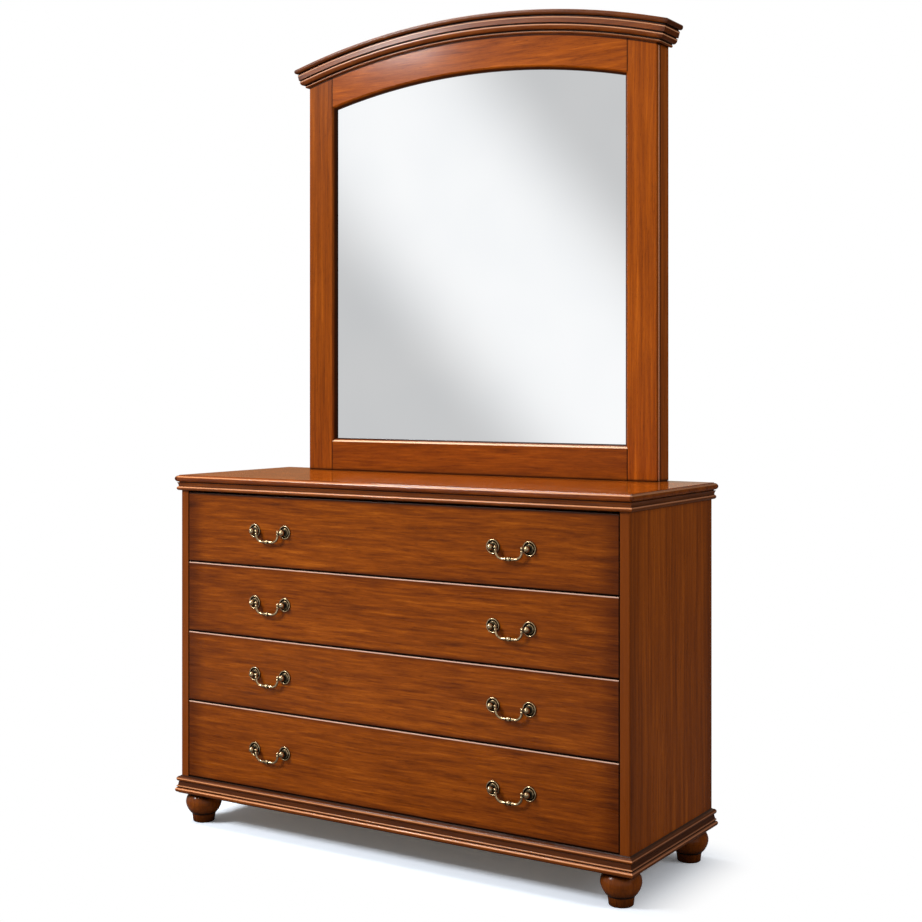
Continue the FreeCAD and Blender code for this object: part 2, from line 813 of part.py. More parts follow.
def board_edge(level, layers, extra):
    """Steps up the outer side of a cornice board, as (out, height) points, and the level of its top."""
    share = 1 - math.sqrt(0.5)
    steps = []
    for height, overhang, round_low, round_high in layers:
        out = overhang + extra
        high = level + height
        steps.append((out - round_low, level))
        if round_low:
            middle = (out - share * round_low, level + share * round_low)
            steps.append((middle, (out, level + round_low)))
        steps.append((out, high - round_high))
        if round_high:
            middle = (out - share * round_high, high - share * round_high)
            steps.append((middle, (out - round_high, high)))
        level = high
    return steps, level


def cornice_board(low, layers):
    """A board of the cornice between two levels above the frame: an arched front and a return at each end."""
    front, high = board_edge(low, layers, 0.0)
    ends, high = board_edge(low, layers, cornice_end_extra)
    reach = cap_layer[1] + cornice_end_extra + spare
    start_y = mirror_front_y - reach
    apex_z = arch_centre_z + arch_radius
    front_place = lambda out, rise: vec(0, mirror_front_y - out, apex_z + rise)
    end_place = lambda out, rise: vec(out, start_y, apex_z + rise)
    section = outline(front_place, (-mirror_depth, low), *front, (-mirror_depth, high))
    end_section = outline(end_place, (0.0, low), *ends, (0.0, high))

    centre, axis = vec(0, 0, arch_centre_z), vec(0, 1, 0)
    corner = math.degrees(math.asin(mirror_half_width / arch_radius))
    end = section.extrude(vec(reach, 0, 0)).common(end_section.extrude(vec(0, mirror_back_y - start_y, 0)))
    end.rotate(centre, axis, corner)
    section.rotate(centre, axis, -corner)
    arch = section.revolve(centre, axis, 2 * corner)
    return fused([arch, end, mirrored(end)]), high


def mirror_cornice():
    """The three boards of the cornice, from the frame up."""
    base, level = cornice_board(0.0, (bead_layer, bead_quirk_layer, ovolo_layer))
    fascia, level = cornice_board(level, (fascia_quirk_layer, fascia_layer))
    cap, level = cornice_board(level, (cap_neck_layer, cap_layer))
    return base, fascia, cap


def main():
    os.makedirs("parts", exist_ok=True)

    panel = side_panel()
    export("side_panel_left", mirrored(panel))
    export("side_panel_right", panel)
    export("top_board", top_board())
    for side, length in run_round(top_moulding_profile, top_overhang, case_high, board_low).items():
        export("top_moulding_" + side, length)
    for side, length in run_round(base_moulding_profile, base_overhang, base_low, base_high).items():
        export("base_moulding_" + side, length)
    export("bottom_panel", bottom_panel())
    export("back_panel", back_panel())
    export("top_stretchers", *top_stretchers())
    export("base_rails", *base_rails())
    export("foot_blocks", *foot_blocks())
    export("feet", *[foot(x, y) for x, y in foot_places()])
    export("drawer_runners", *drawer_runners())

    for number in range(1, upper_drawers + 2):
        name = "drawer_%d_" % number
        export(name + "front", drawer_front(number))
        export(name + "sides", *drawer_sides(number))
        export(name + "back", drawer_back(number))
        export(name + "bottom", drawer_bottom(number))
        export(name + "handle_posts", *handle_posts(number))
        export("bail_%d_left" % number, bail(number, -handle_x))
        export("bail_%d_right" % number, bail(number, handle_x))

    stile = mirror_stile()
    board = mirror_return()
    export("mirror_stile_left", mirrored(stile))
    export("mirror_stile_right", stile)
    export("mirror_bottom_rail", mirror_bottom_rail())
    export("mirror_top_rail", mirror_top_rail())
    export("mirror_return_left", mirrored(board))
    export("mirror_return_right", board)
    export("mirror_base_board", mirror_base_board())
    export("mirror_glass", pane(glass_y, glass_thickness))
    export("mirror_backing", pane(glass_y + glass_thickness, backing_thickness))
    export("mirror_clips", *mirror_clips())
    export("mirror_bolts", *mirror_bolts())
    cornice_base, cornice_fascia, cornice_cap = mirror_cornice()
    export("mirror_cornice_base", cornice_base)
    export("mirror_cornice_fascia", cornice_fascia)
    export("mirror_cornice_cap", cornice_cap)


main()
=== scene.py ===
import json
import math

import bpy
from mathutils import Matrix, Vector


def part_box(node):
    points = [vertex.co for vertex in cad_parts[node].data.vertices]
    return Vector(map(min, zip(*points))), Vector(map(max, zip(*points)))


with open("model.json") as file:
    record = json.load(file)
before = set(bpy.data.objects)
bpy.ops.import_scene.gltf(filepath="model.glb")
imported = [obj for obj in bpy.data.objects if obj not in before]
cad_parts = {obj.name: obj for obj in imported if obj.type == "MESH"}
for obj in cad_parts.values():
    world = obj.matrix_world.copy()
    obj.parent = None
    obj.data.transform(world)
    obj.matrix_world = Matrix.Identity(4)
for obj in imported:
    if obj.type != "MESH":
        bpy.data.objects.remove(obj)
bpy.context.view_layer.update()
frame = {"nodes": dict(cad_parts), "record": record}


def grey(value):
    return value, value, value, 1.0


def linear(red, green, blue):
    """A colour written as 0 to 255 screen values, as the linear colour that a shader takes."""
    def one(value):
        value = value / 255
        return value / 12.92 if value <= 0.04045 else ((value + 0.055) / 1.055) ** 2.4
    return one(red), one(green), one(blue), 1.0


# Camera, in metres and in pixels of a 922 x 922 picture
image_size = 922
focal_length = 1515.7
horizon_row = 384.9
camera_place = (1.9311, -2.9513, 1.0578)
camera_turn = math.radians(32.21)
sensor_width = 36.0

# Lamps: name, place, target, size, power in watts, and whether gloss shows them
lamps = (
    ("key", (-2.9, -3.4, 3.9), (0, 0, 0.9), (1.6, 1.2), 192, True),
    ("glint", (-2.72, -3.4, 3.0), (0, 0, 0.9), (0.45, 0.35), 55, True),
    ("top", (-1.6, 0.0, 4.2), (0, 0, 0.8), (2.2, 1.4), 105, True),
    ("fill", (3.4, 0.3, 1.9), (0.6, 0, 0.7), (1.5, 1.5), 29, False),
)
ambient = grey(0.30)

# Floor: the half sides of its shadow's core, and how far and from what share of white the shadow fades
floor_half = 6.0
shadow_core = (0.53, 0.16)
shadow_fade = 0.19
shadow_lift = 0.05

# The floor's colour as the camera sees it, as it throws light back, and as gloss sees it, far and near
floor_seen = (1.22, 1.33, 1.48, 1)
floor_bounce = grey(0.42)
floor_in_gloss = grey(0.8)
near_floor_in_gloss = grey(0.16)

# Where gloss finds the near floor along Y, and how far from the shadow the floor in front is clear to it
near_floor_span = (-1.5, -0.9)
clear_floor_span = (1.2, 3.6)

# Studio bands that the glass and the gloss see: turns round the room, slant, and where a bright one is
bands_round = 16
band_slant = 4.255
band_start = 2.37
band_wave_span = (-0.43, 1.0)
band_low = 0.61
band_high = 1.0

# Glows that take the bands' place behind the object and overhead, and the directions over which they come in
rear_glow = (0.16, 0.10, 0.07, 1)
rear_left_glow = (0.46, 0.36, 0.27, 1)
far_left_glow = (0.26, 0.17, 0.10, 1)
high_glow = (0.80, 0.69, 0.58, 1)
rear_span = (-0.25, 0.1)
rear_left_span = (0.15, -0.15)
far_left_span = (-0.44, -0.60)
high_span = (0.30, 0.60)


# Node building

# The values that a noise mostly takes
noise_span = (0.3, 0.7)
hollow_samples = 6


class Shader:
    """Builds the nodes of one material or world."""

    def __init__(self, tree):
        self.tree = tree
        tree.nodes.clear()

    def node(self, kind, sockets=None, **settings):
        made = self.tree.nodes.new(kind)
        for key, value in settings.items():
            setattr(made, key, value)
        for key, value in (sockets or {}).items():
            socket = made.inputs[key]
            if isinstance(value, bpy.types.NodeSocket):
                self.tree.links.new(value, socket)
            else:
                socket.default_value = value
        return made

    def math(self, operation, *values):
        return self.node("ShaderNodeMath", dict(enumerate(values)), operation=operation).outputs[0]

    def inverse(self, value):
        return self.math("SUBTRACT", 1.0, value)

    def vector(self, operation, *values):
        return self.node("ShaderNodeVectorMath", dict(enumerate(values)), operation=operation).outputs

    def ramp(self, factor, stops):
        made = self.node("ShaderNodeValToRGB", {"Fac": factor})
        elements = made.color_ramp.elements
        while len(elements) < len(stops):
            elements.new(0.5)
        for element, (place, colour) in zip(elements, stops):
            element.position = place
            element.color = colour
        return made.outputs["Color"]

    def blend(self, a, b, share):
        """A mix of two values, where share is the part that the first one has in it."""
        return self.math("MULTIPLY_ADD", a, share, self.math("MULTIPLY", b, 1 - share))

    def between(self, value, low, high, start=0.0, end=1.0):
        sockets = {"Value": value, "From Min": low, "From Max": high, "To Min": start, "To Max": end}
        return self.node("ShaderNodeMapRange", sockets, interpolation_type="SMOOTHSTEP").outputs["Result"]

    def mix(self, kind, factor, a, b):
        sockets = {0: factor, 6: a, 7: b}
        return self.node("ShaderNodeMix", sockets, data_type="RGBA", blend_type=kind).outputs[2]

    def mix_surfaces(self, factor, a, b):
        return self.node("ShaderNodeMixShader", {0: factor, 1: a, 2: b}).outputs[0]

    def here(self):
        """The place on the object, in metres."""
        return self.node("ShaderNodeTexCoord").outputs["Object"]

    def axes(self):
        """The place on the object, one number for each axis."""
        return self.node("ShaderNodeSeparateXYZ", {0: self.here()}).outputs

    def noise(self, vector, scale, detail=2.0, roughness=0.5, distortion=0.0):
        """Noise whose features are about 1 / scale metres wide along each axis, mostly within noise_span."""
        mapped = self.node("ShaderNodeMapping", {"Vector": vector, "Scale": scale}).outputs[0]
        sockets = {"Vector": mapped, "Scale": 1.0, "Detail": detail, "Roughness": roughness,
                   "Distortion": distortion}
        return self.node("ShaderNodeTexNoise", sockets).outputs["Fac"]

    def bump(self, height, distance, strength):
        sockets = {"Height": height, "Distance": distance, "Strength": strength}
        return self.node("ShaderNodeBump", sockets).outputs[0]

    def recesses(self, reach):
        """1 on open surfaces and less in hollows and along joints, within the reach."""
        made = self.node("ShaderNodeAmbientOcclusion", {"Distance": reach}, samples=hollow_samples)
        return made.outputs["AO"]

    def light_path(self):
        """Whether a ray is a glossy one, and whether it shows the ground behind the object."""
        path = self.node("ShaderNodeLightPath").outputs
        seen = self.math("MAXIMUM", path["Is Camera Ray"], path["Is Transmission Ray"])
        return path["Is Glossy Ray"], seen

    def finish_surface(self, sockets):
        surface = self.node("ShaderNodeBsdfPrincipled", sockets)
        self.node("ShaderNodeOutputMaterial", {"Surface": surface.outputs[0]})


def material(name):
    made = bpy.data.materials.new(name)
    made.use_nodes = True
    return made, Shader(made.node_tree)


# Strips and lines on a piece. A span is two distances in metres: where a strip is 0, and where it is 1.

# The share of a line's half width that is at full strength
line_core = 0.35


def inward(shader, place, edge, way, span):
    """Rises over a span of distances in from an edge. way is 1 for a low edge and -1 for a high one."""
    return shader.between(place, edge + way * span[0], edge + way * span[1])


def lines_at(shader, place, centres, half_width):
    """1 on narrow lines at the given places along one axis."""
    lines = None
    for centre in centres:
        off = shader.math("ABSOLUTE", shader.math("SUBTRACT", place, centre))
        line = shader.between(off, half_width, half_width * line_core)
        lines = line if lines is None else shader.math("MAXIMUM", lines, line)
    return lines


def edge_clearance(shader, low, high, widths):
    """1 in the middle of a board and 0 at its edges, along each axis that has a width."""
    axes = shader.axes()
    clear = None
    for axis, width in enumerate(widths):
        if not width:
            continue
        for edge, way in ((low[axis], 1), (high[axis], -1)):
            part = inward(shader, axes[axis], edge, way, (0.0, width))
            clear = part if clear is None else shader.math("MULTIPLY", clear, part)
    return clear


# Drawer fronts and side panels

# Pale crests: down from the top of a drawer front, and back from the face of a front and of a side panel
front_crest_down = (0.0034, 0.0012)
front_crest_back = (0.0026, 0.0012)
panel_crest_back = (0.0030, 0.0012)

# Clear of the painted shade: up from a front's lower edge, down from its upper edge and in from its ends
front_clear_up = (0.0006, 0.0034)
front_clear_down = (0.0010, 0.0070)
front_clear_aside = (0.0004, 0.0024)

# How far behind a front's face the painted shade on its edges reaches
front_shade_back = (0.0070, 0.0040)


def crest_of_front(shader, low, high):
    """1 on the rounded top edge of a drawer front, where a highlight is painted pale."""
    axes = shader.axes()
    near_top = inward(shader, axes["Z"], high.z, -1, front_crest_down)
    near_face = inward(shader, axes["Y"], low.y, 1, front_crest_back)
    return shader.math("MULTIPLY", near_top, near_face)


def shadow_of_front(shader, low, high, under_moulding=False):
    """1 on the lower edge and the two ends of a drawer front, where shade is painted dark."""
    axes = shader.axes()
    clear = inward(shader, axes["Z"], low.z, 1, front_clear_up)
    if under_moulding:
        clear = shader.math("MULTIPLY", clear, inward(shader, axes["Z"], high.z, -1, front_clear_down))
    for edge, way in ((low.x, 1), (high.x, -1)):
        clear = shader.math("MULTIPLY", clear, inward(shader, axes["X"], edge, way, front_clear_aside))
    near_face = inward(shader, axes["Y"], low.y, 1, front_shade_back)
    return shader.math("MULTIPLY", shader.inverse(clear), near_face)


def shadow_of_top_front(shader, low, high):
    """The same on the top drawer, with its upper edge too, which lies in the shade of the moulding."""
    return shadow_of_front(shader, low, high, under_moulding=True)


def crest_of_panel(shader, low, high):
    """1 on the front edge of a side panel."""
    return inward(shader, shader.axes()["Y"], low.y, 1, panel_crest_back)


# Mouldings and the top board

# Crests of the beads, as shares of a moulding's height up from its foot, or of the board's down from its top
# A pale line painted along each crest stands in for a highlight
base_crests = (0.240, 0.405, 0.830)
top_crests = (0.41,)
board_crest = 0.24
base_moulding_height = 0.03
moulding_crest_width = 0.0018
board_crest_width = 0.0016
moulding_recess = (0.0016, 0.0052)
moulding_recess_strength = 0.65
moulding_ledge = (0.0040, 0.0015)
board_end_bead = (0.0072, 0.0058)


def shadow_of_moulding(shader, low, high):
    """Rises from 0 on the foremost edge of a moulding to 1 on the ledge next to the case."""
    axis = "Y" if high.x - low.x > high.y - low.y else "X"
    start, end = (low.y, high.y) if axis == "Y" else (low.x, high.x)
    outer, inner, way = (start, end, 1) if start < 0 else (end, start, -1)
    place = shader.axes()[axis]
    recess = inward(shader, place, outer, way, moulding_recess)
    recess = shader.math("MULTIPLY", recess, moulding_recess_strength)
    return shader.math("MAXIMUM", recess, inward(shader, place, inner, -way, moulding_ledge))


def crest_of_moulding(shader, low, high):
    """1 along the upper side of each bead of a moulding, where a highlight is painted."""
    height = high.z - low.z
    shares = base_crests if height > base_moulding_height else top_crests
    places = [low.z + height * share for share in shares]
    lines = lines_at(shader, shader.axes()["Z"], places, moulding_crest_width)
    return shader.math("MULTIPLY", lines, shader.inverse(shadow_of_moulding(shader, low, high)))


def crest_of_board(shader, low, high):
    """1 along the upper side of the bead round the top board, where a highlight is painted."""
    return lines_at(shader, shader.axes()["Z"], [high.z - (high.z - low.z) * board_crest], board_crest_width)


def shadow_of_board_ends(shader, low, high):
    """1 on the beaded left and right edges of the top board."""
    return inward(shader, shader.math("ABSOLUTE", shader.axes()["X"]), high.x, -1, board_end_bead)


# Feet: distances down from the case, and the groove's height above the floor

foot_collar = (0.0120, 0.0040)
foot_waist = 0.0215
foot_waist_width = 0.0035


def shadow_of_feet(shader, low, high):
    """1 round the collar under the case and in the groove at the waist of each foot."""
    height = shader.axes()["Z"]
    waist = lines_at(shader, height, [foot_waist], foot_waist_width)
    return shader.math("MAXIMUM", inward(shader, height, high.z, -1, foot_collar), waist)


# Cornice of the mirror: lines in metres below its top, measured towards the centre of the arch

cornice_radius = 1.9238
# Painted highlights along the crests, and painted shade in the quirks and under the lowest board
cornice_crests = (0.0184, 0.0356, 0.0492)
cornice_quirks = (0.0139, 0.0320, 0.0470, 0.0566)
cornice_crest_width = 0.0014
cornice_quirk_width = 0.0026


def cornice_drop(shader):
    """Metres below the top of the cornice, measured towards the centre of its arch."""
    axes = shader.axes()
    centre_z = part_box("mirror_cornice_cap")[1].z - cornice_radius
    from_centre = shader.node("ShaderNodeCombineXYZ", {
        "X": axes["X"], "Z": shader.math("SUBTRACT", axes["Z"], centre_z)}).outputs[0]
    return shader.math("SUBTRACT", cornice_radius, shader.vector("LENGTH", from_centre)["Value"])


def crest_of_cornice(shader, low, high):
    """1 along the upper edges of the cornice's boards, where a highlight is painted."""
    return lines_at(shader, cornice_drop(shader), cornice_crests, cornice_crest_width)


def shadow_of_cornice(shader, low, high):
    """1 in the quirks between the cornice's boards and under the lowest of them."""
    return lines_at(shader, cornice_drop(shader), cornice_quirks, cornice_quirk_width)


# Frame of the mirror: depths behind its face, and distances from the edges of its members

frame_bevel = (0.0008, 0.0060)
bottom_bevel = (0.0050, 0.0086)
behind_glass = (0.0138, 0.0124)
bottom_crest_back = (0.0048, 0.0030)
bottom_crest_down = (0.0094, 0.0082)
stile_quirk = 0.0070
stile_bead = 0.0132
stile_back_quirk = 0.0190
stile_bead_width = 0.0024
stile_quirk_width = 0.0032
stile_bead_tip = (0.0030, 0.0018)
stile_quirk_floor = (0.0040, 0.0032)
stile_bevel_aside = (0.0100, 0.0094)
return_joint = (0.0040, 0.0)


def down_bevel(shader, low, span):
    """A strip down the bevel, by the depth behind a member's face, that is 0 again behind the glass."""
    depth = shader.axes()["Y"]
    before_glass = inward(shader, depth, low.y, 1, behind_glass)
    return shader.math("MULTIPLY", inward(shader, depth, low.y, 1, span), before_glass)


def crest_of_bottom_rail(shader, low, high):
    """1 on the front half of the bevel under the glass, where a highlight is painted pale."""
    axes = shader.axes()
    front = inward(shader, axes["Y"], low.y, 1, bottom_crest_back)
    return shader.math("MULTIPLY", front, inward(shader, axes["Z"], high.z, -1, bottom_crest_down))


def shadow_of_bottom_rail(shader, low, high):
    """1 on the back half of the bevel, next to the glass."""
    return down_bevel(shader, low, bottom_bevel)


def shadow_of_top_rail(shader, low, high):
    """1 down the bevel towards the glass and in the corner under the cornice."""
    return shader.math("MAXIMUM", down_bevel(shader, low, frame_bevel), shadow_of_cornice(shader, low, high))


def crest_of_stile(shader, low, high):
    """1 on the bead along a stile's outer side, where a highlight is painted."""
    axes = shader.axes()
    outer = max(abs(low.x), abs(high.x))
    tip = inward(shader, shader.math("ABSOLUTE", axes["X"]), outer, -1, stile_bead_tip)
    return shader.math("MULTIPLY", tip, lines_at(shader, axes["Y"], [low.y + stile_bead], stile_bead_width))


def shadow_of_stile(shader, low, high):
    """1 down the bevel, under the cornice, and in the quirks on both sides of the outer side's bead."""
    axes = shader.axes()
    away = shader.math("ABSOLUTE", axes["X"])
    inner, outer = sorted((abs(low.x), abs(high.x)))
    dark = shader.math("MULTIPLY", down_bevel(shader, low, frame_bevel),
                       inward(shader, away, inner, 1, stile_bevel_aside))
    quirks = lines_at(shader, axes["Y"], [low.y + stile_quirk, low.y + stile_back_quirk], stile_quirk_width)
    quirks = shader.math("MULTIPLY", inward(shader, away, outer, -1, stile_quirk_floor), quirks)
    dark = shader.math("MAXIMUM", dark, quirks)
    return shader.math("MAXIMUM", dark, shadow_of_cornice(shader, low, high))


def shadow_of_return(shader, low, high):
    """1 on the front edge of a side board of the mirror's box, next to its stile."""
    return inward(shader, shader.axes()["Y"], low.y, 1, return_joint)


# Wood

grain_turns = {"x": (0, 0, 0), "y": (0, 0, -math.pi / 2), "z": (0, math.pi / 2, 0)}
seed_step = (3.17, 1.73, 2.39)

# Layers of the cherry's figure: features per metre along and across the grain, the noise's detail, roughness
# and distortion, and the layer's share of the tone. The last layer is the fibres, which stand up as well.
cherry_figure = (
    (1.4, 22.0, 2.0, 0.5, 0.0, 0.15),
    (7.0, 75.0, 3.0, 0.55, 0.3, 0.28),
    (10.0, 190.0, 4.0, 0.65, 0.0, 0.40),
    (26.0, 620.0, 3.0, 0.6, 0.0, 0.17),
)
cherry_tones = ((0.36, (88, 38, 6)), (0.46, (124, 57, 7)), (0.54, (145, 70, 9)), (0.66, (182, 96, 21)))
wander_scale = (1.6, 5.0, 5.0)
wander = 0.03
pore_scale = (60.0, 1300.0, 1300.0)
pore_span = (0.60, 0.72)
pore_colour = (90, 60, 45)
pore_strength = 0.5
pore_depth = 0.8
polish_scale = (9.0, 60.0, 60.0)
cherry_skin_height = 0.00008
skin_height = 0.0001
plain_coat = 0.02

# How open a face is where the painted shade of the hollows ends
open_span = (0.30, 0.80)

# Tint of the darker edges
edge_tint = (150, 130, 115)
# Dark joints between members, and painted shade along the lines where pieces meet
joint_and_shade_line = (40, 22, 14)
shadow_colour = (30, 14, 8)
# Painted shade in deep hollows
deep_hollow_shade = (36, 22, 16)


def grain_coordinates(shader, along, seed):
    """Coordinates in metres whose first axis runs along the grain, moved to a fresh place in the pattern."""
    sockets = {"Vector": shader.here(), "Rotation": grain_turns[along]}
    turned = shader.node("ShaderNodeMapping", sockets).outputs[0]
    place = [seed * step for step in seed_step]
    return shader.node("ShaderNodeMapping", {"Vector": turned, "Location": place}).outputs[0]


def bare_cherry(shader, grain, shade, figure, stretch):
    """The bare wood's colour, and the height of its fibres and pores."""
    shift = shader.math("MULTIPLY", shader.noise(grain, wander_scale), wander)
    shift = shader.node("ShaderNodeCombineXYZ", {"Y": shift, "Z": shift}).outputs[0]
    bent = shader.vector("ADD", grain, shift)[0]
    tone = 0.0
    for lengthwise, across, detail, roughness, distortion, share in cherry_figure:
        layer = shader.noise(bent, (lengthwise / stretch, across, across), detail, roughness, distortion)
        tone = shader.math("MULTIPLY_ADD", layer, share, tone)
    tone = shader.math("MULTIPLY_ADD", tone, figure, 0.5 * (1 - figure))
    stops = [(place, linear(*(part * shade for part in tint))) for place, tint in cherry_tones]
    pores = shader.between(shader.noise(bent, pore_scale), *pore_span)
    filled = shader.math("MULTIPLY", pores, pore_strength)
    colour = shader.mix("MULTIPLY", filled, shader.ramp(tone, stops), linear(*pore_colour))
    return colour, shader.math("SUBTRACT", layer, shader.math("MULTIPLY", pores, pore_depth))


def darken_edges(shader, colour, box, widths, strength, tint):
    """The colour, darker along the edges of a board."""
    dark = shader.inverse(edge_clearance(shader, *box, widths))
    return shader.mix("MULTIPLY", shader.math("MULTIPLY", dark, strength), colour, linear(*tint))


def cherry(name, along, seed, box, edges=(), shade=1.0, figure=1.0, stretch=1.0, coat=plain_coat,
           coat_gloss=0.12, gloss=(0.27, 0.38), specular=0.08, reach=0.012, hollow_shade=(78, 58, 50),
           crest=None, crest_colour=None, crest_strength=0.85, shadow=None, shadow_strength=0.9):
    """Stained cherry under a satin coat: darker edges, painted highlights on crests, painted shade in
    hollows.
    """
    made, shader = material(name)
    grain = grain_coordinates(shader, along, seed)
    colour, height = bare_cherry(shader, grain, shade, figure, stretch)
    for widths, strength, tint in edges:
        colour = darken_edges(shader, colour, box, widths, strength, tint)
    # Pale crests: mostly a painted highlight, and on a side panel's front edge the wood's own tone against
    # its darker edges
    if crest:
        crest_mask = shader.math("MULTIPLY", crest(shader, *box), crest_strength)
        colour = shader.mix("MIX", crest_mask, colour, linear(*crest_colour))
    # Painted shade in the hollows and along the joints between pieces
    open_face = shader.between(shader.recesses(reach), *open_span)
    colour = shader.mix("MIX", open_face, shader.mix("MULTIPLY", 1.0, colour, linear(*hollow_shade)), colour)
    if coat > plain_coat:
        # A full coat is thinner in the hollows
        coat = shader.math("MULTIPLY", open_face, coat)
    if shadow:
        dark = shadow(shader, *box)
        coat = shader.math("MULTIPLY", coat, shader.inverse(dark))
        dark = shader.math("MULTIPLY", dark, shadow_strength)
        colour = shader.mix("MIX", dark, colour, linear(*shadow_colour))
    polish = shader.noise(grain, polish_scale, 3.0)
    shader.finish_surface({
        "Base Color": colour, "Roughness": shader.between(polish, *noise_span, *gloss),
        "Specular IOR Level": specular, "Coat Weight": coat, "Coat Roughness": coat_gloss,
        "Normal": shader.bump(height, cherry_skin_height, 0.5)})
    return made


plain_tones = [(0.38, linear(168, 132, 92)), (0.5, linear(196, 162, 120)), (0.62, linear(214, 184, 144))]
plain_band_scale = (1.2, 30.0, 30.0)
plain_fibre_scale = (12.0, 500.0, 500.0)
plain_fibre_share = 0.4
plain_roughness = (0.5, 0.62)
dark_front_depth = (0.023, 0.021)


def plain_wood(name, along, seed, box, dark_front=False):
    """Unstained wood of the drawer boxes and the inside; behind its front, a stain and the gap's painted
    shade.
    """
    made, shader = material(name)
    grain = grain_coordinates(shader, along, seed)
    bands = shader.noise(grain, plain_band_scale, 3.0)
    fibres = shader.noise(grain, plain_fibre_scale, 3.0, 0.6)
    tone = shader.blend(fibres, bands, plain_fibre_share)
    colour = shader.ramp(tone, plain_tones)
    # A stain on the front rail, with the painted shade of the gap above it
    if dark_front:
        front = inward(shader, shader.axes()["Y"], box[0].y, 1, dark_front_depth)
        colour = shader.mix("MIX", front, colour, linear(*joint_and_shade_line))
    shader.finish_surface({
        "Base Color": colour, "Roughness": shader.between(fibres, *noise_span, *plain_roughness),
        "Specular IOR Level": 0.3, "Normal": shader.bump(fibres, skin_height, 0.5)})
    return made


hardboard_tones = [(0.36, linear(92, 62, 38)), (0.5, linear(122, 86, 56)), (0.64, linear(150, 112, 78))]
fleck_scale = (420.0, 420.0, 420.0)
fleck_share = 0.8
cloud_scale = (6.0, 6.0, 6.0)
hardboard_roughness = (0.55, 0.75)


def hardboard():
    """Brown board of pressed fibres, with fine flecks and faint clouds."""
    made, shader = material("hardboard")
    flecks = shader.noise(shader.here(), fleck_scale, 4.0, 0.7)
    clouds = shader.noise(shader.here(), cloud_scale, 3.0)
    shader.finish_surface({
        "Base Color": shader.ramp(shader.blend(flecks, clouds, fleck_share), hardboard_tones),
        "Roughness": shader.between(flecks, *noise_span, *hardboard_roughness),
        "Specular IOR Level": 0.25, "Normal": shader.bump(flecks, skin_height, 0.6)})
    return made


# Metal and glass

# How bright the brass is worn, by how far it stands before the drawer front, as a share of worn_depth: the
# rims of the rosettes, the dark necks of the posts, then balls and bails
worn_depth = 0.008
brass_wear = [(0.12, grey(0)), (0.24, grey(1)), (0.39, grey(1)), (0.46, grey(0.2)), (0.68, grey(0.25)),
              (0.85, grey(1))]
brass_tones = [(0.0, linear(12, 10, 8)), (0.45, linear(74, 66, 50)), (1.0, linear(186, 162, 126))]
brass_roughness = (0.5, 0.2)

# Stains on the brass: their scale, the noise over which they fade, and how much of the shine they leave
brass_stain_scale = (180.0, 180.0, 180.0)
brass_stain_span = (0.35, 0.6)
shine_kept = (0.7, 1.0)

# Hollows of the brass: how far they reach, and how open a face is where it turns bright
brass_hollow_reach = 0.006
brass_open_span = (0.3, 0.85)

# Dark rings on each bail, one on either side of its middle
bail_ring_place = 0.0056
bail_ring_width = 0.0022
bail_ring_strength = 0.8


def aged_brass(front_y, handle_x):
    """Antiqued brass: bright on rims, knobs and bails, dark where polish never reaches."""
    made, shader = material("aged_brass")
    axes = shader.axes()
    proud = shader.math("DIVIDE", shader.math("SUBTRACT", front_y, axes["Y"]), worn_depth)
    stains = shader.noise(shader.here(), brass_stain_scale, 4.0, 0.65)
    spotted = shader.between(stains, *brass_stain_span, *shine_kept)
    wear = shader.math("MULTIPLY", shader.ramp(proud, brass_wear), spotted)
    open_face = shader.between(shader.recesses(brass_hollow_reach), *brass_open_span)
    wear = shader.math("MULTIPLY", wear, open_face)
    from_middle = shader.math("SUBTRACT", shader.math("ABSOLUTE", axes["X"]), handle_x)
    rings = lines_at(shader, shader.math("ABSOLUTE", from_middle), [bail_ring_place], bail_ring_width)
    rings = shader.math("MULTIPLY", rings, bail_ring_strength)
    wear = shader.math("MULTIPLY", wear, shader.inverse(rings))
    shader.finish_surface({
        "Base Color": shader.ramp(wear, brass_tones), "Metallic": 1.0,
        "Roughness": shader.between(wear, 0.0, 1.0, *brass_roughness),
        "Normal": shader.bump(stains, skin_height, 0.4)})
    return made


steel_tones = [(0.35, linear(150, 150, 150)), (0.65, linear(196, 197, 198))]
steel_stain_scale = (260.0, 260.0, 260.0)
steel_roughness = (0.3, 0.45)


def steel():
    """Zinc-plated steel with a slightly uneven shine."""
    made, shader = material("steel")
    stains = shader.noise(shader.here(), steel_stain_scale, 3.0, 0.6)
    shader.finish_surface({
        "Base Color": shader.ramp(stains, steel_tones), "Metallic": 1.0,
        "Roughness": shader.between(stains, *noise_span, *steel_roughness),
        "Normal": shader.bump(stains, skin_height, 0.3)})
    return made


glass_tones = [(0.3, linear(244, 246, 248)), (0.7, linear(250, 251, 252))]
haze_scale = (3.0, 3.0, 3.0)
glass_roughness = (0.004, 0.012)


def mirror_glass():
    """Silvered glass, a little cool, with a faint unevenness in its polish."""
    made, shader = material("mirror_glass")
    haze = shader.noise(shader.here(), haze_scale)
    shader.finish_surface({
        "Base Color": shader.ramp(haze, glass_tones), "Metallic": 1.0,
        "Roughness": shader.between(haze, *noise_span, *glass_roughness)})
    return made


# Which material each piece takes

def grain_direction(name):
    if name.startswith(("side_panel", "mirror_stile", "mirror_return", "feet", "foot_blocks")):
        return "z"
    if name.endswith(("moulding_left", "moulding_right", "drawer_runners", "sides")):
        return "y"
    return "x"
